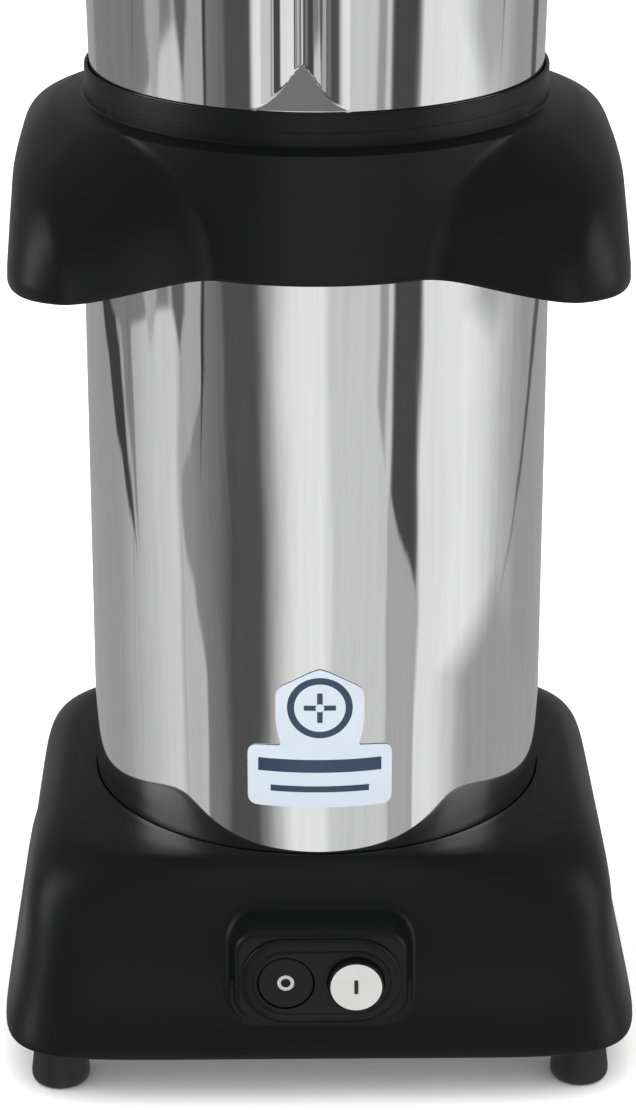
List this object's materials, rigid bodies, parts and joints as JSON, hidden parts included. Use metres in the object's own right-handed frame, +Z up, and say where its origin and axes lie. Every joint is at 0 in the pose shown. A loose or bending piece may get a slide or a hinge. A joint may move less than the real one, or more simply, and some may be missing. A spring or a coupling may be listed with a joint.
{
  "type": "commercial blender",
  "caption": "Upright commercial blender: black moulded base with stop and start buttons, polished steel motor sleeve, moulded collar, lift-off fluted steel jar with handle, lid and blades.",
  "frame": {"origin": "on the floor, midway between the four feet, under the motor shaft", "axes": "+Z up along the motor shaft, -Y towards the switch side, +X to the right seen from the switch side"},
  "size_m": [0.2112, 0.21, 0.5594],
  "materials": {
    "moulding": "fine satin black moulding",
    "polished_steel": "polished stainless sheet with faint rolling waves",
    "plain_steel": "machined steel",
    "rubber": "matt black rubber",
    "white_button": "white moulded button",
    "badge": "printed vinyl label",
    "copper": "enamelled copper winding",
    "lamination": "stacked steel laminations",
    "commutator": "turned copper segments",
    "carbon": "pressed carbon",
    "cast_metal": "die cast",
    "inner_plastic": "grey moulding"
  },
  "bodies": {
    "root": {"base_shell": "moulding", "bottom_plate": "plain_steel", "foot_front_left": "rubber", "foot_front_right": "rubber", "foot_rear_left": "rubber", "foot_rear_right": "rubber", "foot_screw_front_left": "plain_steel", "foot_screw_front_right": "plain_steel", "foot_screw_rear_left": "plain_steel", "foot_screw_rear_right": "plain_steel", "motor_sleeve": "polished_steel", "badge": "badge", "collar": "moulding", "seat_gasket": "rubber", "shaft_seal": "rubber", "switch_bezel": "moulding", "switch_body": "inner_plastic", "cord_grommet": "rubber", "lower_bracket": "cast_metal", "upper_bracket": "cast_metal", "lower_bearing": "plain_steel", "upper_bearing": "plain_steel", "tie_rod_1": "plain_steel", "tie_rod_2": "plain_steel", "tie_rod_3": "plain_steel", "tie_rod_4": "plain_steel", "stator_core": "lamination", "field_coil_front": "copper", "field_coil_rear": "copper", "brush_holder_left": "inner_plastic", "brush_holder_right": "inner_plastic", "carbon_brush_left": "carbon", "carbon_brush_right": "carbon"},
    "off_button": {"button_off": "moulding"},
    "on_button": {"button_on": "white_button"},
    "rotor": {"motor_shaft": "plain_steel", "armature_core": "lamination", "armature_winding_lower": "copper", "armature_winding_upper": "copper", "commutator": "commutator", "cooling_fan": "inner_plastic", "drive_coupling": "rubber"},
    "jar": {"jar_shell": "polished_steel", "jar_handle": "moulding", "handle_bracket_lower": "plain_steel", "handle_bracket_upper": "plain_steel", "handle_screw_lower": "plain_steel", "handle_screw_upper": "plain_steel", "blade_housing": "plain_steel", "housing_nut": "plain_steel", "housing_gasket": "rubber"},
    "blades": {"blade_shaft": "plain_steel", "blade_lower": "polished_steel", "blade_upper": "polished_steel", "blade_nut": "plain_steel", "driven_coupling": "plain_steel"},
    "lid": {"jar_lid": "rubber"},
    "cap": {"lid_cap": "moulding"}
  },
  "joints": [
    {"name": "on_button_press", "type": "slide", "parent": "root", "child": "on_button", "axis": [0, 1, 0], "range_m": [0, 0.003]},
    {"name": "off_button_press", "type": "slide", "parent": "root", "child": "off_button", "axis": [0, 1, 0], "range_m": [-0.003, 0]},
    {"name": "motor_spin", "type": "hinge", "parent": "root", "child": "rotor", "pos_m": [0, 0, 0.1634], "axis": [0, 0, 1], "continuous": true},
    {"name": "blade_spin", "type": "hinge", "parent": "jar", "child": "blades", "pos_m": [0, 0, 0.3434], "axis": [0, 0, 1], "continuous": true},
    {"name": "jar_lift", "type": "slide", "parent": "root", "child": "jar", "axis": [0, 0, 1], "range_m": [0, 0.06]},
    {"name": "lid_lift", "type": "slide", "parent": "jar", "child": "lid", "axis": [0, 0, 1], "range_m": [0, 0.04]},
    {"name": "cap_lift", "type": "slide", "parent": "lid", "child": "cap", "axis": [0, 0, 1], "range_m": [0, 0.035]}
  ],
  "couplings": [
    {"joint": "off_button_press", "follows": "on_button_press", "ratio": -1},
    {"joint": "blade_spin", "follows": "motor_spin", "ratio": 1}
  ]
}
